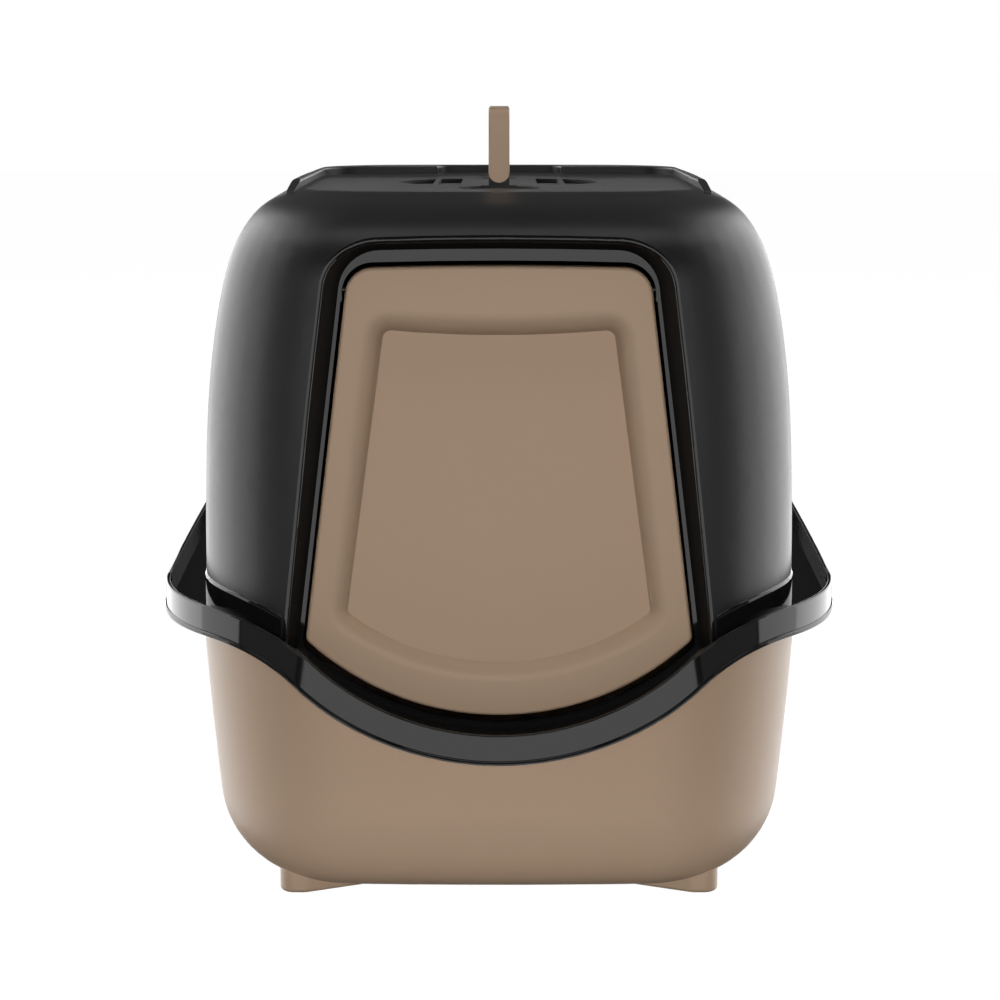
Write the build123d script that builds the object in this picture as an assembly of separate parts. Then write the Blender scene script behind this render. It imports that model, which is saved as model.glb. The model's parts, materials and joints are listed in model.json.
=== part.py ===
"""Hooded cat litter box: tray, hood, swing door, fold-down handle, filter and side clips.

Millimetres. +Z is up, +Y is to the back, and the origin is on the floor in the middle of
the footprint.
"""

from build123d import *
from math import cos, radians, sin, sqrt, tan
import os

# Clearances and the overrun of every cut
overrun = 20.0
seat_gap = 0.3
pin_play = 0.05
turn_gap = 0.4

# Rim that runs round the box where hood and tray meet
flange_half_width = 202.5
flange_half_depth = 280.0
flange_corner = 118.0
side_bulge = 4.0
end_bulge = 8.0
band_height = 17.0
band_wall = 2.5
bead_reach = 1.6
bead_wall = 2.0
bead_height = 2.2
bead_round = 1.7
band_round = 0.9
shelf_low = 6.5
shelf_wall = 2.5
rim_tilt_deg = 2.5
rim_low = 97.5
rim_rise = 65.0
dip_margin = 33.0
dip_share = 0.685

# Hood
shelf_width = 25.5
shelf_depth = 22.0
hood_corner = 80.0
hood_wall = 2.5
hood_skirt = 37.5
shoulder_rise = 43.5
hood_top = 413.5
side_fall = 69.5
front_fall = 130.0
rear_fall = 84.0
roof_corner = 52.0
plinth_height = 15.0
plinth_reach = 1.2
plinth_round = 2.0
shoulder_angles_deg = (0.0, 18.0, 34.0, 48.0, 60.0, 70.0, 78.0, 84.0, 88.0)
side_power, side_round = 2.08, 3.7
front_power, rear_power, end_round = 18.0, 8.0, 2.5
middle_share = 0.5

# Deck on the roof, with a raised crest round its sides and back, and its vent
crest_rise = 5.0
crest_base = 3.5
crest_side = 48.5
crest_end = 70.0
crest_corner = 58.0
crest_width = 5.5
crest_round = 1.5
crest_front = 138.0
crest_run = 55.0
deck_rear_rim = 44.0
deck_corner = 24.0
bay_half_width = 44.0
bay_depth = 26.0
bay_corner = 10.0
vent_half_width = 66.0
vent_half_depth = 58.0
slot_inner_start = 24.5
slot_inner_width = 14.5
slot_bar = 3.5
scoop_radius = 26.0
scoop_depth = 1.2
scoop_middle = 95.0

# Door, hung in a recess of the hood's front
forehead = 39.0
door_crown = 1.5
door_top_side = 92.0
door_low_side = 65.5
door_sill = 18.5
door_bow = 45.0
door_top_corner = 16.0
door_low_corner = 5.0
door_depth = 10.0
door_skin = 2.5
door_edge_round = 2.0
door_proud = 1.5
border_top = 35.5
border_top_side = 19.5
border_low_side = 23.9
border_low = 30.4
panel_bow = 29.6
panel_sag = 3.0
panel_roll = 4.5
panel_sink_top = 12.5
panel_sink_low = 6.0
panel_corner = 5.0
panel_round = 12.0
door_side_gap = 2.0
door_top_gap = 3.0
door_low_gap = 4.0
recess_depth = 18.0
recess_side = 4.0
recess_top = 9.6
recess_corner = 24.0
recess_draft_deg = 28.0
recess_round = 2.5
hinge_drop = 12.0
hinge_back = 5.0
hinge_pin_radius = 2.0
hinge_pin_length = 22.0
hinge_pin_seat = 11.0
knuckle_radius = 4.2
ear_width = 9.0
ear_reach = 6.5

# Handle and its posts
handle_width = 13.2
handle_rise = 48.5
handle_half_length = 66.0
handle_leg = 8.0
handle_strap = 6.0
handle_corner = 7.0
handle_inner_corner = 5.0
handle_edge_round = 0.9
handle_axis_rise = 8.5
post_depth = 10.0
post_width = 13.0
handle_pin_radius = 2.5
handle_pin_seat = 5.5
foot_slot_half_width = 11.5
foot_slot_depth = 10.0

# Filter under the vent
filter_side = 1.0
filter_end = 2.0
filter_thickness = 8.0
cover_wall = 2.5
cover_floor = 2.5
cover_flange = 5.5
cover_flange_thickness = 2.5
rail_wall = 2.5
rail_ledge = 6.0
cover_slot_width = 12.0
cover_slot_pitch = 18.0
cover_slot_count = 7

# Tray
tray_base = 3.0
tray_inset = 20.0
tray_spread = 18.0
tray_end_spread = 1.0
tray_base_corner = 82.0
tray_rim_corner = 90.0
tray_wall = 2.8
tray_floor = 3.0
tray_foot_round = 59.0
tray_lip_wall = 2.5
tray_lip_inset = 4.0
tray_height_shares = (0.0, 0.30, 0.60, 1.0)
tray_spread_shares = (0.0, 0.42, 0.76, 1.0)

# Feet moulded under the tray's corners
foot_side = 33.3
foot_end = 42.0
foot_face = 16.0
foot_length = 55.0
foot_slant = 18.0
foot_depth = 57.0
foot_heel = 43.0
foot_corner = 9.0
foot_rise = 40.0
foot_edge_round = 2.5

# Clips at the two sides
clip_from_front = 162.0
clip_length = 26.0
clip_axis_inset = 6.0
clip_axis_rise = 2.5
clip_knuckle = 3.0
clip_pin_radius = 1.25
clip_plate = 2.5
clip_drop = 10.0
clip_tab = 4.5
clip_tab_reach = 4.5
clip_web_drop = 2.0
clip_toe = 9.5
clip_toe_thickness = 2.4
clip_ear = 4.0
clip_ear_reach = 3.5

tilt = radians(rim_tilt_deg)
rim_climb = tan(tilt)
rim_high = rim_low + rim_rise
dip_half_width = flange_half_width - dip_margin
turn_radius = (dip_half_width**2 + rim_rise**2) / (rim_rise + rim_rise)
dip_radius = turn_radius * dip_share
swell_radius = turn_radius - dip_radius
hood_half_width = flange_half_width - shelf_width
hood_half_depth = flange_half_depth - shelf_depth
hood_foot = rim_low - hood_skirt
shoulder_start = rim_high + shoulder_rise
roof_half_width = hood_half_width - side_fall
crest_top = hood_top + crest_rise
crest_half_width = hood_half_width - crest_side
crest_rear = hood_half_depth - crest_end
deck_half_width = crest_half_width - crest_width
deck_rear = crest_rear - deck_rear_rim
bay_rear = deck_rear + bay_depth
tray_rim_half_width = flange_half_width - tray_inset
tray_rim_half_depth = flange_half_depth - tray_inset
tray_base_half_width = tray_rim_half_width - tray_spread
tray_base_half_depth = tray_rim_half_depth - tray_end_spread
foot_out = tray_base_half_width - foot_side
foot_front = tray_base_half_depth - foot_end
filter_half_width = vent_half_width + filter_side
filter_half_depth = vent_half_depth + filter_end
clip_middle = flange_half_depth - clip_from_front
door_top = hood_top - forehead
door_low = rim_low + door_sill
door_side_low = door_low + door_bow
door_top_half_width = hood_half_width - door_top_side
door_low_half_width = hood_half_width - door_low_side
panel_top = door_top - border_top
panel_top_half_width = door_top_half_width - border_top_side
panel_low_half_width = door_low_half_width - border_low_side
panel_low = door_low + border_low
panel_side_low = panel_low + panel_bow
shelf_high = shelf_low + shelf_wall
lip_high = shelf_low - seat_gap
lip_low = lip_high - tray_lip_wall
recess_y = recess_depth - hood_half_depth
hinge_y = recess_y - door_proud + hinge_back
hinge_z = door_top - hinge_drop
handle_axis_z = hood_top + handle_axis_rise
handle_top = hood_top + handle_rise
rim_rear = rim_high + band_height + (flange_half_depth + flange_half_depth) * rim_climb
door_arc = (door_low_half_width**2 + door_bow**2) / (door_bow + door_bow)
door_slope = (door_low_half_width - door_top_half_width) / (door_top - door_side_low)
hinge_half_width = door_top_half_width + hinge_drop * door_slope
panel_arc = (panel_low_half_width**2 + panel_bow**2) / (panel_bow + panel_bow)


def rounded_plan(half_width, half_depth, corner):
    """Face in the floor plane with four bowed sides and round corners."""
    across, along = half_width - side_bulge, half_depth - end_bulge
    edges = [
        ThreePointArc((-across, -along), (0, -half_depth), (across, -along)),
        ThreePointArc((across, -along), (half_width, 0), (across, along)),
        ThreePointArc((across, along), (0, half_depth), (-across, along)),
        ThreePointArc((-across, along), (-half_width, 0), (-across, -along)),
    ]
    face = make_face(Curve() + edges)
    return fillet(face.vertices(), corner)


def rim_prism(inset):
    """Upright prism of the rim's plan, drawn in by inset."""
    plan = rounded_plan(flange_half_width - inset, flange_half_depth - inset, flange_corner - inset)
    return extrude(plan, rim_rear + overrun)


def under_rim(offset):
    """Everything under the rim line raised by offset, square to the line."""
    reach = flange_half_width + overrun + overrun
    front_y = -(flange_half_depth + overrun)
    drop = overrun * rim_climb
    dip_x, dip_z = 0, rim_low + dip_radius - drop
    swell_x, swell_z = dip_half_width, rim_high - swell_radius - drop
    flat = rim_high + offset - drop
    inner, outer = dip_radius - offset, swell_radius + offset
    away_x, away_z = (dip_x - swell_x) / turn_radius, (dip_z - swell_z) / turn_radius
    meet_x, meet_z = swell_x + away_x * outer, swell_z + away_z * outer
    half_x, half_z = away_x / sqrt(2 + 2 * away_z), (1 + away_z) / sqrt(2 + 2 * away_z)
    crown_x, crown_z = swell_x + half_x * outer, swell_z + half_z * outer
    bottom = -(overrun + drop)
    edges = [
        Line((-reach, flat), (-swell_x, flat)),
        ThreePointArc((-swell_x, flat), (-crown_x, crown_z), (-meet_x, meet_z)),
        ThreePointArc((-meet_x, meet_z), (0, dip_z - inner), (meet_x, meet_z)),
        ThreePointArc((meet_x, meet_z), (crown_x, crown_z), (swell_x, flat)),
        Line((swell_x, flat), (reach, flat)),
        Polyline((reach, flat), (reach, bottom), (-reach, bottom), (-reach, flat)),
    ]
    front = Pos(0, front_y, 0) * (Plane.XZ * make_face(Curve() + edges))
    front = extrude(front, -front_y / cos(tilt), dir=(0, cos(tilt), sin(tilt)))
    high = rim_high + offset + flange_half_depth * rim_climb
    rear_corners = [(-reach, bottom), (reach, bottom), (reach, high), (-reach, high), (-reach, bottom)]
    rear = Plane.XZ * make_face(Polyline(*rear_corners))
    rear = extrude(rear, -front_y / cos(tilt), dir=(0, cos(tilt), sin(tilt)))
    return front + rear


def rim_band(reach, wall, height, edge_round):
    """Upright band along the rim, from reach outside its plan to wall inside, rounded on top."""
    ring = rim_prism(-reach) - rim_prism(wall)
    under = under_rim(height)
    band = ring & under
    band = fillet(new_edges(ring, under, combined=band), edge_round)
    return band - under_rim(0)


def round_mouth(solid, cutter):
    """Solid with the cutter taken out and the mouth of the cut rounded."""
    cut = solid - cutter
    mouth = []
    for edge in new_edges(solid, cutter, combined=cut):
        middle = edge.position_at(middle_share)
        if middle.Z > hood_foot + recess_round and middle.Y < recess_y - recess_round / 2:
            mouth.append(edge)
    return fillet(mouth, recess_round)


def hood_form(inset):
    """Dome of the hood, drawn in by inset: upright below the shoulder, then rounded over."""
    sections = []
    for height in (hood_foot, (hood_foot + shoulder_start) / 2):
        plan = rounded_plan(hood_half_width - inset, hood_half_depth - inset, hood_corner - inset)
        sections.append(Pos(0, 0, height) * plan)
    for angle in shoulder_angles_deg:
        climb = sin(radians(angle)) ** (2 / side_power)
        side = cos(radians(angle)) ** (2 / side_round)
        front = (1 - climb**front_power) ** (1 / end_round)
        rear = (1 - climb**rear_power) ** (1 / end_round)
        half_width = roof_half_width + (hood_half_width - roof_half_width) * side - inset
        front_y = front_fall * (1 - front) + inset - hood_half_depth
        rear_y = hood_half_depth - rear_fall * (1 - rear) - inset
        corner = roof_corner + (hood_corner - roof_corner) * side - inset
        height = shoulder_start + (hood_top - inset - shoulder_start) * climb
        plan = rounded_plan(half_width, (rear_y - front_y) / 2, corner)
        sections.append(Pos(0, (rear_y + front_y) / 2, height) * plan)
    return loft(sections)


def foot_ledge():
    """Ledge round the dome's foot, a little proud of it and rounded on top."""
    outer = rounded_plan(
        hood_half_width + plinth_reach, hood_half_depth + plinth_reach, hood_corner + plinth_reach
    )
    inset = hood_wall + plinth_reach
    core = rounded_plan(hood_half_width - inset, hood_half_depth - inset, hood_corner - inset)
    ring = extrude(outer, rim_rear + overrun) - extrude(core, rim_rear + overrun)
    under = under_rim(shelf_high + plinth_height)
    ledge = ring & under
    ledge = fillet(new_edges(ring, under, combined=ledge), plinth_round)
    return ledge - under_rim(shelf_low) - recess_form(recess_round)


def door_face(side, top, low, top_corner, low_corner):
    """Door's outline in the front view, grown at its sides, top and bow."""
    radius = door_arc + low
    middle = door_low + door_arc
    half_low = door_low_half_width + side
    corner_z = middle - sqrt(radius**2 - half_low**2)
    high = door_top + top
    half_high = door_top_half_width + side - top * door_slope
    edges = [
        ThreePointArc((-half_low, corner_z), (0, door_low - low), (half_low, corner_z)),
        Line((half_low, corner_z), (half_high, high)),
        ThreePointArc((half_high, high), (0, high + door_crown), (-half_high, high)),
        Line((-half_high, high), (-half_low, corner_z)),
    ]
    face = make_face(Curve() + edges)
    ends = face.vertices().sort_by(Axis.Y)
    face = fillet(ends[2:], top_corner)
    return fillet(face.vertices().sort_by(Axis.Y)[:2], low_corner)


def recess_face(grow):
    """Outline of the door's recess at its floor, grown all round, open to the rim below."""
    high = door_top + recess_top + grow
    half_high = door_top_half_width + recess_side + grow - recess_top * door_slope
    low = hood_foot - overrun
    half_low = half_high + (high - low) * door_slope
    edges = [
        Polyline((half_high, high), (half_low, low), (-half_low, low), (-half_high, high)),
        ThreePointArc((half_high, high), (0, high + door_crown), (-half_high, high)),
    ]
    face = make_face(Curve() + edges)
    return fillet(face.vertices().sort_by(Axis.Y)[2:], recess_corner + grow)


def recess_form(wall):
    """Drafted block of the recess, from wall behind its floor out past the hood's front."""
    reach = recess_depth + overrun
    spread = (reach + wall) * tan(radians(recess_draft_deg))
    back = Plane.XZ.offset(-recess_y - wall) * recess_face(wall)
    front = Plane.XZ.offset(reach - recess_y) * recess_face(wall + spread)
    return loft([back, front], ruled=True)


def box_between(low, high):
    """Box from one corner to the opposite one."""
    size = [far - near for near, far in zip(low, high)]
    middle = [(near + far) / 2 for near, far in zip(low, high)]
    return Pos(*middle) * Box(*size)


def rod(start, end, radius):
    """Round rod between two points on one axis."""
    path = Vector(*end) - Vector(*start)
    return extrude(Plane(start, z_dir=path) * Circle(radius), path.length)


def both(shape):
    """A shape and its mirror image on the other side of the box."""
    return shape + mirror(shape, Plane.YZ)


def roof_crest():
    """Raised rim round the deck's sides and back, its two ends sloping down to the front."""
    roof = rounded_plan(crest_half_width, (crest_rear + hood_half_depth) / 2, crest_corner)
    roof = Pos(0, (crest_rear - hood_half_depth) / 2) * roof
    reach = hood_half_depth + deck_rear + overrun
    deck = Pos(0, deck_rear - reach / 2) * RectangleRounded(2 * deck_half_width, reach, deck_corner)
    bay = Pos(0, bay_rear / 2) * RectangleRounded(2 * bay_half_width, bay_rear, bay_corner)
    plan = roof - (deck + bay)
    crest = extrude(Pos(0, 0, hood_top - crest_base) * plan, crest_rise + crest_base)
    crest = fillet(crest.edges().group_by(Axis.Z)[-1], crest_round)
    high = crest_top + overrun
    slope = overrun * crest_run / crest_rise
    corners = [
        (-crest_front, hood_top),
        (-crest_front + crest_run + slope, high),
        (-hood_half_depth - overrun, high),
        (-hood_half_depth - overrun, hood_top - crest_base - overrun),
        (-crest_front, hood_top - crest_base - overrun),
    ]
    wedge = Plane.YZ.offset(-hood_half_width) * make_face(Polyline(*corners, corners[0]))
    return crest - extrude(wedge, hood_half_width + hood_half_width)


def vent_slots():
    """Two pairs of long slots, the outer ones ending on the vent's oval."""
    oval = Ellipse(vent_half_width, vent_half_depth)
    depth = vent_half_depth + vent_half_depth
    inner = Pos(slot_inner_start + slot_inner_width / 2, 0) * Rectangle(slot_inner_width, depth)
    outer_start = slot_inner_start + slot_inner_width + slot_bar
    outer_width = vent_half_width - outer_start
    outer = Pos(outer_start + outer_width / 2, 0) * Rectangle(outer_width, depth)
    slots = [oval & inner, oval & outer]
    return both(Sketch() + slots)


def foot_slots():
    """Two slots in the deck under the feet of the handle."""
    near = handle_half_length - handle_leg - turn_gap
    slot = box_between(
        (-foot_slot_half_width, near, hood_top - hood_wall - seat_gap),
        (foot_slot_half_width, near + foot_slot_depth, hood_top + seat_gap),
    )
    return slot + mirror(slot, Plane.XZ)


def handle_posts():
    """Two posts on the deck, inside the handle's legs, that carry its pins."""
    face_y = handle_half_length - handle_leg - turn_gap
    post = box_between(
        (-post_width / 2, face_y - post_depth, hood_top - hood_wall),
        (post_width / 2, face_y, handle_axis_z),
    )
    post += rod((0, face_y - post_depth, handle_axis_z), (0, face_y, handle_axis_z), post_width / 2)
    return post + mirror(post, Plane.XZ)


def filter_rails():
    """Two ledges under the deck that the filter's cover slides on to."""
    out = filter_half_width + cover_wall + cover_flange + seat_gap
    under = hood_top - hood_wall
    ledge_top = under - cover_flange_thickness - seat_gap
    low = ledge_top - rail_wall
    half = filter_half_depth + cover_wall
    rail = box_between((out, -half, low), (out + rail_wall, half, under))
    rail += box_between((out + rail_wall - rail_ledge, -half, low), (out + rail_wall, half, ledge_top))
    return both(rail)


def hinge_ears():
    """Two ears behind the recess floor that the door's pins turn in."""
    start = hinge_half_width + door_side_gap
    low = (start, recess_y, hinge_z - ear_reach)
    high = (start + ear_width, hinge_y + knuckle_radius + door_skin, hinge_z + ear_reach)
    return both(box_between(low, high))


def clip_station():
    """Place of the right clip's pin: out to the side, along the box and up."""
    out = flange_half_width - side_bulge * (clip_middle / flange_half_depth) ** 2
    height = rim_high + (flange_half_depth - clip_middle) * rim_climb
    return out, -clip_middle, height


def clip_notch():
    """Gap in the rim's band that the right clip turns in."""
    out, along, height = clip_station()
    half = clip_length / 2 + turn_gap
    low = (out - clip_axis_inset, along - half, height - overrun)
    return box_between(low, (out + overrun, along + half, height + shelf_low))


def clip_ears():
    """Two ears behind the band that hold the right clip's pin."""
    out, along, height = clip_station()
    near = clip_length / 2 + turn_gap
    axis_x, axis_z = out - clip_axis_inset, height + clip_axis_rise
    low = (axis_x - clip_ear_reach, along + near, axis_z - clip_ear_reach)
    high = (out - band_wall / 2, along + near + clip_ear, height + shelf_low + shelf_wall / 2)
    rear = box_between(low, high)
    low = (axis_x - clip_ear_reach, along - near - clip_ear, axis_z - clip_ear_reach)
    high = (out - band_wall / 2, along - near, height + shelf_low + shelf_wall / 2)
    return rear + box_between(low, high)


def clip_pin():
    """Pin of the right clip, from ear to ear."""
    out, along, height = clip_station()
    half = clip_length / 2 + turn_gap + clip_ear
    axis_x, axis_z = out - clip_axis_inset, height + clip_axis_rise
    return rod((axis_x, along - half, axis_z), (axis_x, along + half, axis_z), clip_pin_radius)


def build_clip():
    """Right clip: knuckle, toe under the tray's lip, plate in the band and a finger tab."""
    out, along, height = clip_station()
    axis_x, axis_z = out - clip_axis_inset, height + clip_axis_rise
    start, end = along - clip_length / 2, along + clip_length / 2
    clip = rod((axis_x, start, axis_z), (axis_x, end, axis_z), clip_knuckle)
    toe_top = height + lip_low - seat_gap - clip_length / 2 * rim_climb
    clip += box_between(
        (axis_x - clip_toe, start, toe_top - clip_toe_thickness), (axis_x, end, toe_top)
    )
    web_top = axis_z - clip_web_drop
    plate_in = out - clip_plate
    clip += box_between((axis_x, start, web_top - clip_plate), (out, end, web_top))
    clip += box_between((plate_in, start, axis_z - clip_drop), (out, end, web_top))
    tab_low = axis_z - clip_drop
    clip += box_between((plate_in, start, tab_low), (out + clip_tab_reach, end, tab_low + clip_tab))
    bore_start, bore_end = start - overrun, end + overrun
    bore = rod((axis_x, bore_start, axis_z), (axis_x, bore_end, axis_z), clip_pin_radius + pin_play)
    return clip - bore


def tray_form(inset, floor):
    """Solid form of the tray, drawn in by inset and with its underside raised by floor."""
    sections = []
    for height_share, spread_share in zip(tray_height_shares, tray_spread_shares):
        height = tray_base + (rim_rear + overrun - tray_base) * height_share
        if height_share == 0:
            height += floor
        half_width = tray_base_half_width + (tray_rim_half_width - tray_base_half_width) * spread_share
        half_depth = tray_base_half_depth + (tray_rim_half_depth - tray_base_half_depth) * spread_share
        corner = tray_base_corner + (tray_rim_corner - tray_base_corner) * spread_share
        plan = rounded_plan(half_width - inset, half_depth - inset, corner - inset)
        sections.append(Pos(0, 0, height) * plan)
    form = loft(sections)
    return fillet(form.edges().group_by(Axis.Z)[0], tray_foot_round - inset)


def tray_feet():
    """Four feet under the corners, each with a round front corner and a face that slants in."""
    corners = [
        (-foot_out, -foot_front),
        (-foot_out + foot_face, -foot_front),
        (-foot_out + foot_length, -foot_front + foot_slant),
        (-foot_out + foot_heel, -foot_front + foot_depth),
        (-foot_out, -foot_front + foot_depth),
    ]
    plan = make_face(Polyline(*corners, corners[0]))
    plan = fillet(plan.vertices(), foot_corner)
    foot = extrude(plan, foot_rise)
    foot = both(fillet(foot.edges().group_by(Axis.Z)[0], foot_edge_round))
    return foot + mirror(foot, Plane.XZ)


def build_tray():
    """Brown tray: one open moulding with a turned-out lip and feet."""
    trim = under_rim(lip_high)
    tray = (tray_form(0, 0) & trim) + tray_feet()
    lip = (rim_prism(tray_lip_inset) & trim) - under_rim(lip_low)
    out, along, height = clip_station()
    half = clip_length / 2 + turn_gap + clip_ear + turn_gap
    axis_x = out - clip_axis_inset
    low = (axis_x - clip_ear_reach - turn_gap, along - half, height - overrun)
    lip -= both(box_between(low, (out + overrun, along + half, height + overrun)))
    return tray + lip - tray_form(tray_wall, tray_floor)


def panel_face(grow):
    """Sunk middle of the door in the front view, grown all round."""
    radius = panel_arc + grow
    middle = panel_low + panel_arc
    half_low = panel_low_half_width + grow
    corner_z = middle - sqrt(radius**2 - half_low**2)
    high, half_high = panel_top + grow, panel_top_half_width + grow
    edges = [
        ThreePointArc((-half_low, corner_z), (0, panel_low - grow), (half_low, corner_z)),
        Line((half_low, corner_z), (half_high, high)),
        ThreePointArc((half_high, high), (0, high - panel_sag), (-half_high, high)),
        Line((-half_high, high), (-half_low, corner_z)),
    ]
    return fillet(make_face(Curve() + edges).vertices(), panel_corner + grow)


def panel_block(front, wall):
    """Block of the sunk panel, from the door's front to its leaning floor, grown by wall."""
    rise = panel_top - panel_low
    lean = (panel_sink_top - panel_sink_low) / rise
    floor = Plane((0, front + panel_sink_low + wall, panel_low), x_dir=(1, 0, 0), z_dir=(0, -1, lean))
    mouth = Plane.XZ.offset(-front) * panel_face(panel_roll + wall)
    return loft([mouth, floor * Pos(0, -panel_low) * panel_face(wall)], ruled=True)


def build_door():
    """Brown flap: rolled border round a sunk panel, hollow behind, with two knuckles."""
    front = recess_y - door_proud
    back = front + door_depth
    outline = door_face(0, 0, 0, door_top_corner, door_low_corner)
    door = extrude(Plane.XZ.offset(-back) * outline, door_depth)
    door = fillet(door.edges().group_by(Axis.Y)[0], door_edge_round)
    core = panel_block(front, door_skin)
    door += core
    door -= panel_block(front, 0)
    border = door.faces().filter_by(Plane.XZ).sort_by(Axis.Y)[0]
    door = fillet(border.inner_wires()[0].edges(), panel_round)
    shell = door_face(
        -door_skin, -door_skin, -door_skin, door_top_corner - door_skin, door_low_corner - door_skin
    )
    cavity = extrude(Plane.XZ.offset(-back) * shell, door_depth - door_skin)
    door -= cavity - core
    seat = hinge_half_width - hinge_pin_seat
    door += both(
        rod((seat - door_skin, hinge_y, hinge_z), (hinge_half_width - door_skin / 2, hinge_y, hinge_z),
            knuckle_radius)
    )
    door -= both(
        rod((seat, hinge_y, hinge_z), (hinge_half_width + overrun, hinge_y, hinge_z), hinge_pin_radius)
    )
    return door


def build_hinge_pin():
    """Right pin of the door, held in the flap and turning in the hood's ear."""
    seat = hinge_half_width - hinge_pin_seat
    return rod((seat, hinge_y, hinge_z), (seat + hinge_pin_length, hinge_y, hinge_z), hinge_pin_radius)


def build_handle():
    """Brown strap handle with two legs whose round feet turn on the pins."""
    foot = handle_axis_z - handle_width / 2
    height = handle_top - foot
    arch = Pos(0, foot + height / 2) * Rectangle(2 * handle_half_length, height)
    arch = fillet(arch.vertices().sort_by(Axis.Y)[2:], handle_corner)
    gap_half = handle_half_length - handle_leg
    gap_top = handle_top - handle_strap
    gap = Pos(0, (foot + gap_top) / 2) * Rectangle(2 * gap_half, gap_top - foot)
    gap = fillet(gap.vertices().sort_by(Axis.Y)[2:], handle_inner_corner)
    arch = extrude(Plane.YZ.offset(-handle_width / 2) * (arch - gap), handle_width)
    sides = arch.edges().group_by(Axis.X)
    arch = fillet(sides[0] + sides[-1], handle_edge_round)
    leg = Pos(0, (handle_axis_z + handle_top) / 2) * Rectangle(handle_width, handle_top - handle_axis_z)
    leg = leg + Pos(0, handle_axis_z) * Circle(handle_width / 2)
    leg = extrude(Plane.XZ.offset(-handle_half_length) * leg, 2 * handle_half_length)
    handle = arch & leg
    for way in (-1, 1):
        start = (0, way * (gap_half - turn_gap), handle_axis_z)
        end = (0, way * (gap_half + handle_pin_seat), handle_axis_z)
        handle -= rod(start, end, handle_pin_radius + pin_play)
    return handle


def build_handle_pin():
    """Rear pin of the handle, held in the post and reaching into the leg."""
    gap_half = handle_half_length - handle_leg
    start = (0, gap_half - turn_gap - post_depth, handle_axis_z)
    end = (0, gap_half + handle_pin_seat - seat_gap, handle_axis_z)
    return rod(start, end, handle_pin_radius)


def build_filter():
    """Charcoal pad under the vent."""
    top = hood_top - hood_wall - seat_gap
    return box_between(
        (-filter_half_width, -filter_half_depth, top - filter_thickness),
        (filter_half_width, filter_half_depth, top),
    )


def build_cover():
    """Slotted cover that holds the pad, with two side flanges on the hood's rails."""
    top = hood_top - hood_wall - seat_gap
    floor = top - filter_thickness - seat_gap
    half_width = filter_half_width + cover_wall
    half_depth = filter_half_depth + cover_wall
    cover = box_between((-half_width, -half_depth, floor - cover_floor), (half_width, half_depth, top))
    reach = half_width + cover_flange
    cover += box_between((-reach, -half_depth, top - cover_flange_thickness), (reach, half_depth, top))
    room_x, room_y = filter_half_width + seat_gap, filter_half_depth + seat_gap
    cover -= box_between((-room_x, -room_y, floor), (room_x, room_y, top + overrun))
    span = half_depth - cover_wall - cover_wall
    for index in range(cover_slot_count):
        middle = (index - (cover_slot_count - 1) / 2) * cover_slot_pitch
        near, far = middle - cover_slot_width / 2, middle + cover_slot_width / 2
        cover -= box_between((near, -span, floor - overrun), (far, span, floor + seat_gap))
    return cover


def build_hood():
    """Black hood: dome, rim, door recess, crest, posts and ears in one moulding."""
    dome = round_mouth(hood_form(0), recess_form(0)) - under_rim(shelf_low) + foot_ledge()
    shelf = (rim_prism(0) & under_rim(shelf_high)) - under_rim(shelf_low)
    hood = dome + shelf + rim_band(0, band_wall, band_height, band_round)
    hood += rim_band(bead_reach, bead_wall, bead_height, bead_round)
    hood -= hood_form(hood_wall) - recess_form(hood_wall)
    opening = door_face(
        door_side_gap, door_top_gap, door_low_gap,
        door_top_corner + door_side_gap, door_low_corner + door_side_gap,
    )
    opening = extrude(Plane.XZ.offset(-recess_y - overrun) * opening, overrun + overrun)
    hood -= opening
    hood += roof_crest()
    slots = Pos(0, 0, hood_top - hood_wall - overrun) * vent_slots()
    hood -= extrude(slots, hood_wall + overrun + overrun)
    hood -= foot_slots()
    hood -= Pos(0, -scoop_middle, hood_top) * Cylinder(scoop_radius, scoop_depth + scoop_depth)
    hood += handle_posts()
    hood += filter_rails()
    hood += hinge_ears()
    hood -= both(clip_notch())
    hood += both(clip_ears())
    hood -= both(clip_pin())
    pin_out = hinge_half_width + door_side_gap + hinge_pin_length - hinge_pin_seat
    hood -= both(
        rod((hinge_half_width, hinge_y, hinge_z), (pin_out, hinge_y, hinge_z),
            hinge_pin_radius + pin_play)
    )
    face_y = handle_half_length - handle_leg
    hood -= rod((0, -face_y, handle_axis_z), (0, -face_y + post_depth + overrun, handle_axis_z),
                handle_pin_radius)
    hood -= rod((0, face_y, handle_axis_z), (0, face_y - post_depth - overrun, handle_axis_z),
                handle_pin_radius)
    return hood


right_clip = build_clip()
right_clip_pin = clip_pin()
right_hinge_pin = build_hinge_pin()
rear_handle_pin = build_handle_pin()
nodes = {
    "tray": build_tray(),
    "hood": build_hood(),
    "door_flap": build_door(),
    "door_pin_right": right_hinge_pin,
    "door_pin_left": mirror(right_hinge_pin, Plane.YZ),
    "carry_handle": build_handle(),
    "handle_pin_rear": rear_handle_pin,
    "handle_pin_front": mirror(rear_handle_pin, Plane.XZ),
    "carbon_filter": build_filter(),
    "filter_cover": build_cover(),
    "side_clip_right": right_clip,
    "side_clip_left": mirror(right_clip, Plane.YZ),
    "clip_pin_right": right_clip_pin,
    "clip_pin_left": mirror(right_clip_pin, Plane.YZ),
}

os.makedirs("parts", exist_ok=True)
for name, shape in nodes.items():
    export_step(shape, f"parts/{name}.step")
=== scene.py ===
"""Looks of the hooded litter box: plastics, the fleece pad, studio light and camera.

Metres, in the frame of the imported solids: +Z is up, +Y runs from the door to the back and the
origin is on the floor in the middle of the footprint.
"""

from __future__ import annotations

import json
import logging
import math
from dataclasses import dataclass, replace
from enum import Enum
from typing import Any

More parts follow.
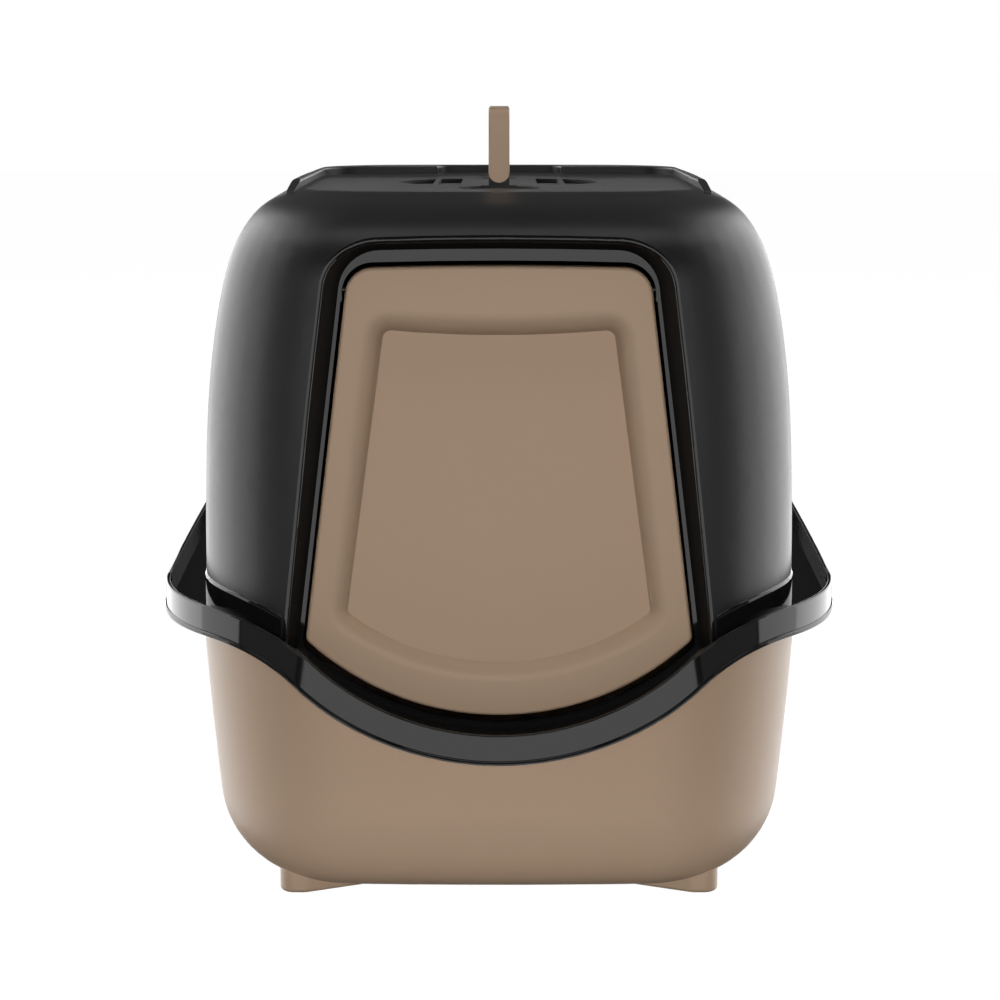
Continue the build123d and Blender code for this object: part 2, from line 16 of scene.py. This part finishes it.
import bmesh
import bpy
import numpy as np
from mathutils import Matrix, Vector

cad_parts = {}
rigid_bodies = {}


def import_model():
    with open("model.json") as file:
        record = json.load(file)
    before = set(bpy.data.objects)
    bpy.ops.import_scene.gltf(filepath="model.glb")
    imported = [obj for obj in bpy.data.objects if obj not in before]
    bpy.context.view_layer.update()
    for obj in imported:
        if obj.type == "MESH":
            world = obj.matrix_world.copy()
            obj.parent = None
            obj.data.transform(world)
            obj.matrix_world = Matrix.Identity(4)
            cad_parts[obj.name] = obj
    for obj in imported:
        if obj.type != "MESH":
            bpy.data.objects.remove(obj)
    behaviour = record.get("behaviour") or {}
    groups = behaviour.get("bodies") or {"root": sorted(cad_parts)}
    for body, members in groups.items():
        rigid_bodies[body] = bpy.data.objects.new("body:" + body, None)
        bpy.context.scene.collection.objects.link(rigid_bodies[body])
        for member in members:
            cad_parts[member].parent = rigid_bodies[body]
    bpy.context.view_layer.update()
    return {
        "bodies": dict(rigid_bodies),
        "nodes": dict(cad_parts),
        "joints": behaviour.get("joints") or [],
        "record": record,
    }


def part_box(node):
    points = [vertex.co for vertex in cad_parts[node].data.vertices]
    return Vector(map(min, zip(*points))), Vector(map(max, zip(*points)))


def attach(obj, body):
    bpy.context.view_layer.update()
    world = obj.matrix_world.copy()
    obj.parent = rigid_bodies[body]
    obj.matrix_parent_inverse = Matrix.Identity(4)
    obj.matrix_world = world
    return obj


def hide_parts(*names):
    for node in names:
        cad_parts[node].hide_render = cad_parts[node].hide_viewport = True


LOG = logging.getLogger("litter_box")
MERGE_DISTANCE = 2e-6
WHITE = (1.0, 1.0, 1.0, 1.0)
NOISE_MIDDLE = 0.5
MIX_FACTOR, MIX_FIRST, MIX_SECOND, MIX_RESULT = 0, 6, 7, 2

Color = tuple[float, float, float]
Point = tuple[float, float, float]


class Zone(Enum):
    """Finish zones of the hood, in the order of its material slots."""

    SATIN = 0
    GLOSS = 1
    # Recess walls, which get the darker, barely reflective finish that paints shade into the
    # recess.
    WALL = 2


class Wire:
    """A node's output that Python operators work on; every operation adds a Math node."""

    def __init__(self, bench: Bench, socket: bpy.types.NodeSocket | None) -> None:
        """Keep the socket and the bench that new nodes are made on."""
        self.bench = bench
        self.socket = socket

    def math(self, operation: str, first: Any, second: Any = 0.0) -> Wire:
        """Return one Math node of the given operation on two values or wires."""
        return self.bench.node("ShaderNodeMath", {"operation": operation}, {0: first, 1: second})

    def __add__(self, other: Any) -> Wire:
        """Return the sum."""
        return self.math("ADD", self, other)

    def __radd__(self, other: Any) -> Wire:
        """Return the sum with a number on the left."""
        return self.math("ADD", other, self)

    def __sub__(self, other: Any) -> Wire:
        """Return the difference."""
        return self.math("SUBTRACT", self, other)

    def __rsub__(self, other: Any) -> Wire:
        """Return the difference with a number on the left."""
        return self.math("SUBTRACT", other, self)

    def __mul__(self, other: Any) -> Wire:
        """Return the product."""
        return self.math("MULTIPLY", self, other)

    def __rmul__(self, other: Any) -> Wire:
        """Return the product with a number on the left."""
        return self.math("MULTIPLY", other, self)

    def __truediv__(self, other: Any) -> Wire:
        """Return the quotient."""
        return self.math("DIVIDE", self, other)

    def __pow__(self, other: Any) -> Wire:
        """Return the power."""
        return self.math("POWER", self, other)

    def __abs__(self) -> Wire:
        """Return the size without its sign."""
        return self.math("ABSOLUTE", self)

    def at_least(self, low: float) -> Wire:
        """Return the larger of the wire and a number."""
        return self.math("MAXIMUM", self, low)

    def cosine(self) -> Wire:
        """Return the cosine of an angle in radians."""
        return self.math("COSINE", self)


class Bench:
    """Makes the nodes of one tree and joins them."""

    def __init__(self, tree: bpy.types.NodeTree) -> None:
        """Keep the tree that the nodes go into."""
        self.tree = tree

    def node(
        self,
        kind: str,
        settings: dict[str, Any] | None = None,
        sockets: dict[int | str, Any] | None = None,
        output: int | str = 0,
    ) -> Wire:
        """Add a node.

        Args:
            kind: Blender's name of the node type.
            settings: Properties to set before the sockets are.
            sockets: Values or wires for the inputs, by name or place.
            output: Name or place of the output that is wanted.

        Returns:
            The wanted output, or a wire without a socket for a node that has none.
        """
        made = self.tree.nodes.new(kind)
        for name, value in (settings or {}).items():
            setattr(made, name, value)
        for place, value in (sockets or {}).items():
            if isinstance(value, Wire):
                self.tree.links.new(value.socket, made.inputs[place])
            elif value is not None:
                made.inputs[place].default_value = value
        return Wire(self, made.outputs[output]) if len(made.outputs) else Wire(self, None)


def new_material(name: str) -> tuple[bpy.types.Material, Bench]:
    """Make an empty node material.

    Args:
        name: The material's name.

    Returns:
        The material and the bench for its tree.
    """
    material = bpy.data.materials.new(name)
    material.use_nodes = True
    material.node_tree.nodes.clear()
    return material, Bench(material.node_tree)


def shade(color: Color, share: float) -> tuple[float, float, float, float]:
    """Return a colour scaled by a share, with full alpha."""
    return (color[0] * share, color[1] * share, color[2] * share, 1.0)


def noise(bench: Bench, size: float, detail: float, breakup: float, twist: float = 0.0) -> Wire:
    """Add noise that sits still on its piece.

    Args:
        bench: Where the nodes go.
        size: Size of the largest spots.
        detail: Number of finer layers.
        breakup: Weight of a finer layer against the one before it.
        twist: How far the pattern is bent.

    Returns:
        The noise, from 0 to 1.
    """
    place = bench.node("ShaderNodeTexCoord", output="Object")
    return bench.node(
        "ShaderNodeTexNoise",
        {"noise_dimensions": "3D"},
        {
            "Vector": place,
            "Scale": 1.0 / size,
            "Detail": detail,
            "Roughness": breakup,
            "Distortion": twist,
        },
    )


def tinted(bench: Bench, factor: Wire, color: Color, low_share: float, high_share: float) -> Wire:
    """Mix a darker and a lighter shade of a colour.

    Args:
        bench: Where the node goes.
        factor: From 0 for the darker shade to 1 for the lighter one.
        color: The colour that both are shades of.
        low_share: Share of the colour in the darker shade.
        high_share: Share of the colour in the lighter shade.

    Returns:
        The mixed colour.
    """
    return bench.node(
        "ShaderNodeMix",
        {"data_type": "RGBA"},
        {
            MIX_FACTOR: factor,
            MIX_FIRST: shade(color, low_share),
            MIX_SECOND: shade(color, high_share),
        },
        output=MIX_RESULT,
    )


@dataclass(frozen=True)
class PlasticFinish:
    """Moulded plastic with a faint drift of colour and gloss and a fine grain."""

    name: str
    color: Color
    color_drift: float
    drift_size: float
    roughness: float
    roughness_drift: float
    grain_size: float
    grain_depth: float
    specular: float = 0.5
    drift_detail: float = 3.0
    drift_breakup: float = 0.55
    grain_detail: float = 2.0
    grain_breakup: float = 0.6

    def material(self) -> bpy.types.Material:
        """Return the finish as a node material."""
        material, bench = new_material(self.name)
        drift = noise(bench, self.drift_size, self.drift_detail, self.drift_breakup)
        grain = noise(bench, self.grain_size, self.grain_detail, self.grain_breakup)
        tint = tinted(bench, drift, self.color, 1.0 - self.color_drift, 1.0 + self.color_drift)
        rough = self.roughness + (drift - NOISE_MIDDLE) * (self.roughness_drift / NOISE_MIDDLE)
        bump = bench.node("ShaderNodeBump", None, {"Height": grain, "Distance": self.grain_depth})
        surface = bench.node(
            "ShaderNodeBsdfPrincipled",
            None,
            {
                "Base Color": tint,
                "Roughness": rough,
                "Normal": bump,
                "Specular IOR Level": self.specular,
            },
        )
        bench.node("ShaderNodeOutputMaterial", None, {"Surface": surface})
        return material


@dataclass(frozen=True)
class FleeceFinish:
    """Matted charcoal fibres."""

    name: str
    color: Color
    fibre_size: float
    fibre_depth: float
    fibre_detail: float = 6.0
    fibre_breakup: float = 0.75
    fibre_twist: float = 2.5
    dark_share: float = 0.4
    light_share: float = 1.7
    roughness: float = 0.95
    sheen: float = 0.3

    def material(self) -> bpy.types.Material:
        """Return the finish as a node material."""
        material, bench = new_material(self.name)
        fibres = noise(
            bench, self.fibre_size, self.fibre_detail, self.fibre_breakup, self.fibre_twist
        )
        tint = tinted(bench, fibres, self.color, self.dark_share, self.light_share)
        bump = bench.node("ShaderNodeBump", None, {"Height": fibres, "Distance": self.fibre_depth})
        surface = bench.node(
            "ShaderNodeBsdfPrincipled",
            None,
            {
                "Base Color": tint,
                "Roughness": self.roughness,
                "Normal": bump,
                "Sheen Weight": self.sheen,
            },
        )
        bench.node("ShaderNodeOutputMaterial", None, {"Surface": surface})
        return material


BROWN_SATIN = PlasticFinish(
    name="brown_satin_plastic",
    color=(0.400, 0.279, 0.188),
    color_drift=0.02,
    drift_size=0.05,
    roughness=0.46,
    roughness_drift=0.03,
    grain_size=0.0007,
    grain_depth=0.000012,
)
BLACK_SATIN = PlasticFinish(
    name="black_satin_plastic",
    color=(0.0095, 0.0095, 0.0095),
    color_drift=0.08,
    drift_size=0.04,
    roughness=0.38,
    roughness_drift=0.03,
    grain_size=0.0006,
    grain_depth=0.000012,
)
BLACK_GLOSS = PlasticFinish(
    name="black_gloss_plastic",
    color=(0.006, 0.006, 0.006),
    color_drift=0.05,
    drift_size=0.06,
    roughness=0.07,
    roughness_drift=0.02,
    grain_size=0.004,
    grain_depth=0.000001,
)
# Darker, barely reflective copy of the black plastic for the door recess walls: painted shade that
# keeps the walls black in place of real shading and reflection.
BLACK_RECESS_SHADE = PlasticFinish(
    name="black_recess_painted_shade",
    color=(0.0045, 0.0045, 0.0045),
    color_drift=0.05,
    drift_size=0.06,
    roughness=0.42,
    roughness_drift=0.03,
    grain_size=0.0006,
    grain_depth=0.000008,
    specular=0.12,
)
CHARCOAL = FleeceFinish(
    name="charcoal_fleece",
    color=(0.022, 0.022, 0.024),
    fibre_size=0.004,
    fibre_depth=0.0012,
)


def islands_of(mesh: bpy.types.Mesh) -> np.ndarray:
    """Number the connected patches of a mesh.

    Args:
        mesh: A mesh whose smooth patches don't share points.

    Returns:
        The patch number of every point.
    """
    ends = np.empty(len(mesh.edges) * 2, np.int64)
    mesh.edges.foreach_get("vertices", ends)
    first, second = ends.reshape(-1, 2).T
    label = np.arange(len(mesh.vertices))
    while True:
        low = np.minimum(label[first], label[second])
        fresh = label.copy()
        np.minimum.at(fresh, first, low)
        np.minimum.at(fresh, second, low)
        fresh = fresh[fresh]
        if np.array_equal(fresh, label):
            return label
        label = fresh


def points_of(mesh: bpy.types.Mesh) -> np.ndarray:
    """Return a mesh's points as rows of X, Y and Z."""
    flat = np.empty(len(mesh.vertices) * 3)
    mesh.vertices.foreach_get("co", flat)
    return flat.reshape(-1, 3)


class SubAssembly:
    """Shared ways of dressing the pieces of one sub-assembly."""

    body: str

    def dress(self, frame: dict[str, Any], node: str, material: bpy.types.Material) -> None:
        """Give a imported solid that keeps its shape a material.

        Args:
            frame: The loaded frame.
            node: Name of the solid.
            material: What it is made of.
        """
        mesh = frame["nodes"][node].data
        mesh.materials.clear()
        mesh.materials.append(material)
        LOG.info("dressed %s with %s", node, material.name)

    def merged_copy(
        self, frame: dict[str, Any], node: str, name: str, zone: np.ndarray
    ) -> bpy.types.Object:
        """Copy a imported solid, join its loose patches and keep its smooth normals.

        Args:
            frame: The loaded frame.
            node: Name of the solid.
            name: Name of the new piece.
            zone: Material slot of every face.

        Returns:
            The new piece, linked to the scene.
        """
        mesh = frame["nodes"][node].data.copy()
        mesh.name = name
        mesh.materials.clear()
        mesh.polygons.foreach_set("material_index", zone.astype(np.int32))
        normals = np.empty(len(mesh.loops) * 3, np.float32)
        mesh.corner_normals.foreach_get("vector", normals)
        mesh.attributes.new("smooth_normal", "FLOAT_VECTOR", "CORNER")
        mesh.attributes["smooth_normal"].data.foreach_set("vector", normals)
        shell = bmesh.new()
        shell.from_mesh(mesh)
        bmesh.ops.remove_doubles(shell, verts=shell.verts, dist=MERGE_DISTANCE)
        shell.to_mesh(mesh)
        shell.free()
        normals = np.empty(len(mesh.loops) * 3, np.float32)
        mesh.attributes["smooth_normal"].data.foreach_get("vector", normals)
        mesh.attributes.remove(mesh.attributes["smooth_normal"])
        mesh.shade_smooth()
        mesh.normals_split_custom_set(normals.reshape(-1, 3))
        piece = bpy.data.objects.new(name, mesh)
        bpy.context.scene.collection.objects.link(piece)
        return piece


@dataclass
class Hood(SubAssembly):
    """Black hood: satin dome, glossy rim and door recess."""

    body: str = "hood"
    plan_half_width: float = 0.177
    plan_half_depth: float = 0.258
    plan_corner: float = 0.080
    plan_inset: float = 0.0035
    rim_top: float = 0.215
    recess_floor: float = -0.2372
    wall_start: float = -0.2412
    wall_reach: float = 0.002
    recess_half_width: float = 0.135
    recess_low: float = 0.090

    def outside_plan(self, points: np.ndarray) -> np.ndarray:
        """Tell which points lie outside the dome's plan, drawn in a little.

        Args:
            points: Rows of X, Y and Z.

        Returns:
            True for each point outside.
        """
        corner = self.plan_corner
        over_x = np.abs(points[:, 0]) - (self.plan_half_width - self.plan_inset - corner)
        over_y = np.abs(points[:, 1]) - (self.plan_half_depth - self.plan_inset - corner)
        round_part = np.hypot(np.maximum(over_x, 0.0), np.maximum(over_y, 0.0))
        return np.maximum(round_part, np.maximum(over_x, over_y)) > corner

    def zones(self, mesh: bpy.types.Mesh) -> np.ndarray:
        """Sort the patches of the hood into finish zones.

        Args:
            mesh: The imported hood, whose patches don't share points.

        Returns:
            The zone of every point, as the Enum's value.
        """
        points = points_of(mesh)
        patch = islands_of(mesh)
        rim = self.outside_plan(points) & (points[:, 2] < self.rim_top)
        recess = points[:, 1] < self.recess_floor
        recess &= np.abs(points[:, 0]) < self.recess_half_width
        recess &= points[:, 2] > self.recess_low
        near = np.full(len(points), np.inf)
        far = np.full(len(points), -np.inf)
        np.minimum.at(near, patch, points[:, 1])
        np.maximum.at(far, patch, points[:, 1])
        slanted = (far > self.wall_start) & (far - near > self.wall_reach)
        zone = np.full(len(points), Zone.SATIN.value)
        for mask in (rim, recess):
            whole = np.ones(len(points), bool)
            np.logical_and.at(whole, patch, mask)
            zone[whole[patch]] = Zone.GLOSS.value
            # The recess walls go into their own zone so that they can take the finish with painted
            # shade.
            if mask is recess:
                zone[(whole & slanted)[patch]] = Zone.WALL.value
        return zone

    def build(self, frame: dict[str, Any], finishes: dict[Zone, bpy.types.Material]) -> None:
        """Make the hood's shell with its finishes.

        Args:
            frame: The loaded frame.
            finishes: Material of every zone.
        """
        source = frame["nodes"]["hood"].data
        zone = self.zones(source)
        corners = np.empty(len(source.loops), np.int64)
        source.loops.foreach_get("vertex_index", corners)
        starts = np.empty(len(source.polygons), np.int64)
        source.polygons.foreach_get("loop_start", starts)
        face_zone = zone[corners[starts]]
        shell = self.merged_copy(frame, "hood", "hood_shell", face_zone)
        for kind in Zone:
            shell.data.materials.append(finishes[kind])
        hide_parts("hood")
        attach(shell, self.body)
        counts = np.bincount(face_zone).tolist()
        LOG.info("hood shell: %d faces, by zone %s", len(face_zone), counts)


@dataclass
class FilterPad(SubAssembly):
    """Quilted charcoal pad under the vent."""

    body: str = "hood"
    quilt_pitch: float = 0.0225
    quilt_share: float = 0.42
    weld_power: float = 3.0
    edge_share: float = 0.3
    edge_power: float = 8.0
    swell_power: float = 0.5
    points_each_way: tuple[int, int, int] = (85, 77, 7)
    inputs: tuple[str, ...] = (
        "Half Width",
        "Half Depth",
        "Half Thickness",
        "Quilt Pitch",
        "Quilt Share",
    )

    def tree(self, material: bpy.types.Material) -> bpy.types.NodeTree:
        """Build the node tree that forms the pad.

        Args:
            material: What the pad is made of.

        Returns:
            The tree, with the pad's sizes as named inputs.
        """
        tree = bpy.data.node_groups.new("quilted_pad", "GeometryNodeTree")
        face = tree.interface
        face.new_socket("Geometry", in_out="INPUT", socket_type="NodeSocketGeometry")
        for name in self.inputs:
            face.new_socket(name, in_out="INPUT", socket_type="NodeSocketFloat")
        face.new_socket("Geometry", in_out="OUTPUT", socket_type="NodeSocketGeometry")
        bench = Bench(tree)
        half_width, half_depth, half_thick, pitch, quilt = (
            bench.node("NodeGroupInput", output=name) for name in self.inputs
        )
        halves = (half_width, half_depth, half_thick)
        size = bench.node(
            "ShaderNodeCombineXYZ", None, {axis: half + half for axis, half in enumerate(halves)}
        )
        block = bench.node(
            "GeometryNodeMeshCube",
            None,
            {
                "Size": size,
                "Vertices X": self.points_each_way[0],
                "Vertices Y": self.points_each_way[1],
                "Vertices Z": self.points_each_way[2],
            },
        )
        place = bench.node("GeometryNodeInputPosition")
        across, along, up = (
            bench.node("ShaderNodeSeparateXYZ", None, {0: place}, output=axis) for axis in "XYZ"
        )
        swell_x = 1.0 - abs(across / half_width) ** self.edge_power
        swell_y = 1.0 - abs(along / half_depth) ** self.edge_power
        swell = (swell_x * swell_y).at_least(0.0) ** self.swell_power
        wave_x = (across / pitch * math.tau).cosine()
        wave_y = (along / pitch * math.tau).cosine()
        weld = (wave_x * wave_y).at_least(0.0) ** self.weld_power
        full = self.edge_share + (1.0 - self.edge_share) * swell
        lift = up * full * (1.0 - weld * quilt)
        moved = bench.node("ShaderNodeCombineXYZ", None, {0: across, 1: along, 2: lift})
        formed = bench.node("GeometryNodeSetPosition", None, {"Geometry": block, "Position": moved})
        smooth = bench.node("GeometryNodeSetShadeSmooth", None, {"Geometry": formed})
        real = bench.node("GeometryNodeRealizeInstances", None, {0: smooth})
        dressed = bench.node(
            "GeometryNodeSetMaterial", None, {"Geometry": real, "Material": material}
        )
        bench.node("NodeGroupOutput", None, {0: dressed})
        return tree

    def build(self, material: bpy.types.Material) -> None:
        """Form the pad in the place of its plain solid.

        Args:
            material: What the pad is made of.
        """
        low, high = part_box("carbon_filter")
        half = (high - low) / 2.0
        middle = (high + low) / 2.0
        maker = bpy.data.objects.new("pad_maker", bpy.data.meshes.new("pad_maker"))
        bpy.context.scene.collection.objects.link(maker)
        modifier = maker.modifiers.new("quilt", "NODES")
        modifier.node_group = self.tree(material)
        values = dict(zip(self.inputs, (*half, self.quilt_pitch, self.quilt_share)))
        for item in modifier.node_group.interface.items_tree:
            if item.in_out == "INPUT" and item.name in values:
                modifier[item.identifier] = values[item.name]
        depsgraph = bpy.context.evaluated_depsgraph_get()
        mesh = bpy.data.meshes.new_from_object(maker.evaluated_get(depsgraph))
        bpy.data.objects.remove(maker)
        mesh.name = "filter_pad"
        points = points_of(mesh) + np.array(middle)
        mesh.vertices.foreach_set("co", points.ravel())
        mesh.update()
        pad = bpy.data.objects.new("filter_pad", mesh)
        bpy.context.scene.collection.objects.link(pad)
        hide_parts("carbon_filter")
        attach(pad, self.body)
        LOG.info("filter pad: %d faces", len(mesh.polygons))


@dataclass
class Mouldings(SubAssembly):
    """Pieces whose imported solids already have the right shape."""

    brown: tuple[str, ...] = ("tray", "door_flap", "carry_handle")
    black: tuple[str, ...] = ("side_clip_right", "side_clip_left", "filter_cover")
    pins: tuple[str, ...] = (
        "door_pin_right",
        "door_pin_left",
        "handle_pin_rear",
        "handle_pin_front",
        "clip_pin_right",
        "clip_pin_left",
    )

    def build(
        self,
        frame: dict[str, Any],
        brown: bpy.types.Material,
        black: bpy.types.Material,
        gloss: bpy.types.Material,
    ) -> None:
        """Dress every moulding.

        Args:
            frame: The loaded frame.
            brown: Finish of the brown pieces.
            black: Finish of the black pieces.
            gloss: Finish of the pins.
        """
        for node in self.brown:
            self.dress(frame, node, brown)
        for node in self.black:
            self.dress(frame, node, black)
        for node in self.pins:
            self.dress(frame, node, gloss)


class Acts(Enum):
    """What a light acts on."""

    ON_ALL = "all surfaces"
    ON_MATTE = "matt surfaces only"
    ON_GLOSS = "reflections only"


@dataclass(frozen=True)
class Softbox:
    """Rectangular light that faces a point."""

    name: str
    place: Point
    aim: Point
    width: float
    height: float
    radiance: float
    acts: Acts = Acts.ON_ALL

    def build(self) -> None:
        """Hang the light, unseen by the camera."""
        lamp = bpy.data.lights.new(self.name, "AREA")
        lamp.shape = "RECTANGLE"
        lamp.size = self.width
        lamp.size_y = self.height
        lamp.energy = math.pi * self.width * self.height * self.radiance
        box = bpy.data.objects.new(self.name, lamp)
        bpy.context.scene.collection.objects.link(box)
        box.location = self.place
        direction = Vector(self.aim) - Vector(self.place)
        box.rotation_euler = direction.to_track_quat("-Z", "Y").to_euler()
        box.visible_camera = False
        box.visible_glossy = self.acts is not Acts.ON_MATTE
        box.visible_diffuse = self.acts is not Acts.ON_GLOSS

    def pair(self) -> tuple[Softbox, Softbox]:
        """Return the light for the right side and its mirror image for the left."""
        across, along, up = self.place
        aim_across, aim_along, aim_up = self.aim
        return (
            replace(self, name=f"right_{self.name}"),
            replace(
                self,
                name=f"left_{self.name}",
                place=(-across, along, up),
                aim=(-aim_across, aim_along, aim_up),
            ),
        )


SOFTBOXES: tuple[Softbox, ...] = (
    Softbox(
        name="front_box",
        place=(0.0, -3.0, -0.1),
        aim=(0.0, 0.0, -0.1),
        width=3.6,
        height=2.0,
        radiance=1.5,
        acts=Acts.ON_GLOSS,
    ),
    Softbox(
        name="key",
        place=(0.0, -3.0, 0.7),
        aim=(0.0, 0.0, 0.2),
        width=0.9,
        height=0.7,
        radiance=20.0,
        acts=Acts.ON_MATTE,
    ),
    *Softbox(
        name="near",
        place=(1.9, -0.3, 0.3),
        aim=(0.0, -0.3, 0.3),
        width=1.0,
        height=3.2,
        radiance=1.8,
        acts=Acts.ON_GLOSS,
    ).pair(),
    *Softbox(
        name="far",
        place=(1.9, 1.4, 0.6),
        aim=(0.0, 1.4, 0.6),
        width=2.4,
        height=4.0,
        radiance=2.8,
    ).pair(),
    *Softbox(
        name="back",
        place=(1.9, 3.6, 0.6),
        aim=(0.0, 3.6, 0.6),
        width=2.0,
        height=4.0,
        radiance=2.8,
        acts=Acts.ON_GLOSS,
    ).pair(),
    *Softbox(
        name="dim",
        place=(2.33, -1.9, 0.2),
        aim=(0.0, 0.0, 0.2),
        width=1.8,
        height=2.4,
        radiance=0.2,
    ).pair(),
    Softbox(
        name="back_low",
        place=(0.0, 3.4, -1.2),
        aim=(0.0, 0.0, -1.2),
        width=3.6,
        height=1.9,
        radiance=1.0,
    ),
    Softbox(
        name="back_card",
        place=(0.0, 3.4, 0.45),
        aim=(0.0, 0.0, 0.45),
        width=3.6,
        height=0.5,
        radiance=2.0,
        acts=Acts.ON_GLOSS,
    ),
    Softbox(
        name="top_box",
        place=(0.0, -0.5, 2.4),
        aim=(0.0, -0.2, 0.3),
        width=1.5,
        height=1.1,
        radiance=1.0,
        acts=Acts.ON_GLOSS,
    ),
    *Softbox(
        name="high",
        place=(1.9, 2.4, 3.4),
        aim=(0.0, 2.4, 3.4),
        width=6.4,
        height=1.7,
        radiance=1.3,
        acts=Acts.ON_GLOSS,
    ).pair(),
    Softbox(
        name="top_fill",
        place=(0.0, -0.78, 2.4),
        aim=(0.0, -0.3, 0.3),
        width=1.8,
        height=0.7,
        radiance=3.0,
        acts=Acts.ON_MATTE,
    ),
    *Softbox(
        name="fill",
        place=(1.9, -0.4, 0.3),
        aim=(0.0, -0.4, 0.3),
        width=1.0,
        height=2.4,
        radiance=0.6,
        acts=Acts.ON_MATTE,
    ).pair(),
    Softbox(
        name="floor_bounce",
        place=(0.0, -0.36, -0.02),
        aim=(0.0, -0.36, 1.0),
        width=0.6,
        height=0.2,
        radiance=0.65,
        acts=Acts.ON_MATTE,
    ),
)


@dataclass
class Studio:
    """White surroundings, softboxes and the camera."""

    softboxes: tuple[Softbox, ...] = SOFTBOXES
    ambient: float = 0.03
    floor_half: float = 12.0
    floor_color: Color = (0.9, 0.9, 0.9)
    floor_glow: float = 1.06
    floor_white: float = 0.93
    lens: float = 86.4
    sensor: float = 36.0
    camera_place: Point = (0.0006, -1.590, 0.476)
    camera_tilt_deg: float = 80.19
    camera_reach: float = 100.0

    def world(self) -> None:
        """Make the surroundings white for the camera and dim for all else."""
        world = bpy.data.worlds.new("studio")
        bpy.context.scene.world = world
        world.use_nodes = True
        world.node_tree.nodes.clear()
        bench = Bench(world.node_tree)
        seen = bench.node("ShaderNodeLightPath", output="Is Camera Ray")
        strength = self.ambient + seen * (1.0 - self.ambient)
        sky = bench.node("ShaderNodeBackground", None, {"Color": WHITE, "Strength": strength})
        bench.node("ShaderNodeOutputWorld", None, {"Surface": sky})

    def floor(self) -> None:
        """Lay a white floor that keeps a faint shadow."""
        side = self.floor_half
        mesh = bpy.data.meshes.new("floor")
        corners = [(-side, -side, 0.0), (side, -side, 0.0), (side, side, 0.0), (-side, side, 0.0)]
        mesh.from_pydata(corners, [], [(0, 1, 2, 3)])
        material, bench = new_material("white_floor")
        matte = bench.node("ShaderNodeBsdfDiffuse", None, {"Color": shade(self.floor_color, 1.0)})
        glow = bench.node("ShaderNodeEmission", None, {"Color": WHITE, "Strength": self.floor_glow})
        mixed = bench.node("ShaderNodeMixShader", None, {0: self.floor_white, 1: matte, 2: glow})
        bench.node("ShaderNodeOutputMaterial", None, {"Surface": mixed})
        mesh.materials.append(material)
        ground = bpy.data.objects.new("floor", mesh)
        bpy.context.scene.collection.objects.link(ground)
        ground.visible_diffuse = False
        ground.visible_glossy = False
        ground.visible_shadow = False

    def camera(self) -> None:
        """Set up the camera at the photograph's viewpoint."""
        data = bpy.data.cameras.new("camera")
        data.lens = self.lens
        data.sensor_width = self.sensor
        data.sensor_height = self.sensor
        data.sensor_fit = "HORIZONTAL"
        data.clip_end = self.camera_reach
        camera = bpy.data.objects.new("camera", data)
        bpy.context.scene.collection.objects.link(camera)
        camera.location = self.camera_place
        camera.rotation_euler = (math.radians(self.camera_tilt_deg), 0.0, 0.0)
        bpy.context.scene.camera = camera

    def build(self) -> None:
        """Set up world, floor, lights and camera."""
        self.world()
        self.floor()
        for box in self.softboxes:
            box.build()
        self.camera()
        bpy.context.scene.view_settings.view_transform = "Standard"


def main() -> None:
    """Load the frame, dress every piece and set up the studio."""
    logging.basicConfig(level=logging.INFO, format="%(name)s: %(message)s")
    for extra in list(bpy.data.objects):
        bpy.data.objects.remove(extra)
    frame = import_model()
    brown = BROWN_SATIN.material()
    satin = BLACK_SATIN.material()
    gloss = BLACK_GLOSS.material()
    Hood().build(frame, {Zone.SATIN: satin, Zone.GLOSS: gloss, Zone.WALL: BLACK_RECESS_SHADE.material()})
    FilterPad().build(CHARCOAL.material())
    Mouldings().build(frame, brown, satin, gloss)
    Studio().build()


if __name__ == "__main__":
    main()
